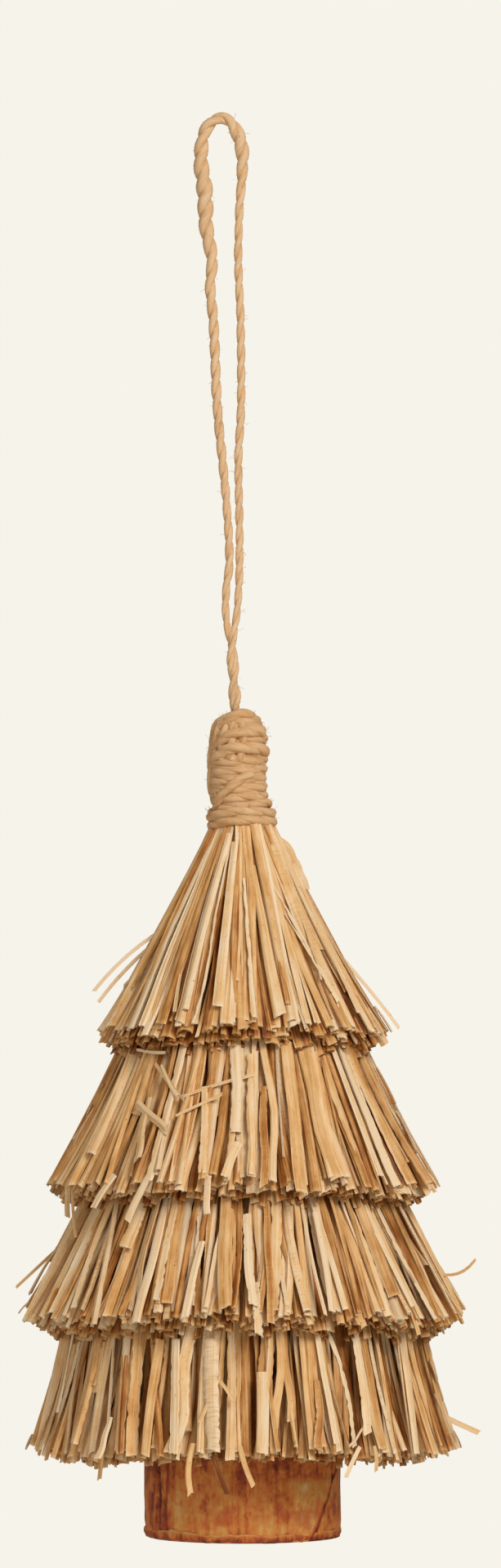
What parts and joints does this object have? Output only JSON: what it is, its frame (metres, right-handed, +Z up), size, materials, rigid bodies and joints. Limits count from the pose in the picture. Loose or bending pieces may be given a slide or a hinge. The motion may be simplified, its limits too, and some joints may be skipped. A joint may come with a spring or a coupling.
{
  "type": "straw christmas tree ornament",
  "caption": "Hanging straw tree: stacked tiers of cut straw under a wound twine top, on a short bark-wrapped trunk, with a long twisted twine loop.",
  "frame": {"origin": "the point where a hook or twig carries the loop, inside the top of the loop", "axes": "+Z up along the hanging tree, -Y the side seen in the picture, +X to the right of it"},
  "size_m": [0.07, 0.0677, 0.2179],
  "materials": {
    "twine": "natural jute twine, two strands twisted, slightly hairy, matt",
    "straw": "dried straw in cut strips, pale cream to golden brown, satin skin and matt cut ends",
    "bark": "thin red-brown bark sheet, creased and rolled, satin"
  },
  "bodies": {
    "root": {"hanging_loop": "twine", "top_binding": "twine", "straw_tier_1": "straw", "straw_tier_2": "straw", "straw_tier_3": "straw", "straw_tier_4": "straw", "trunk": "bark"}
  },
  "joints": []
}
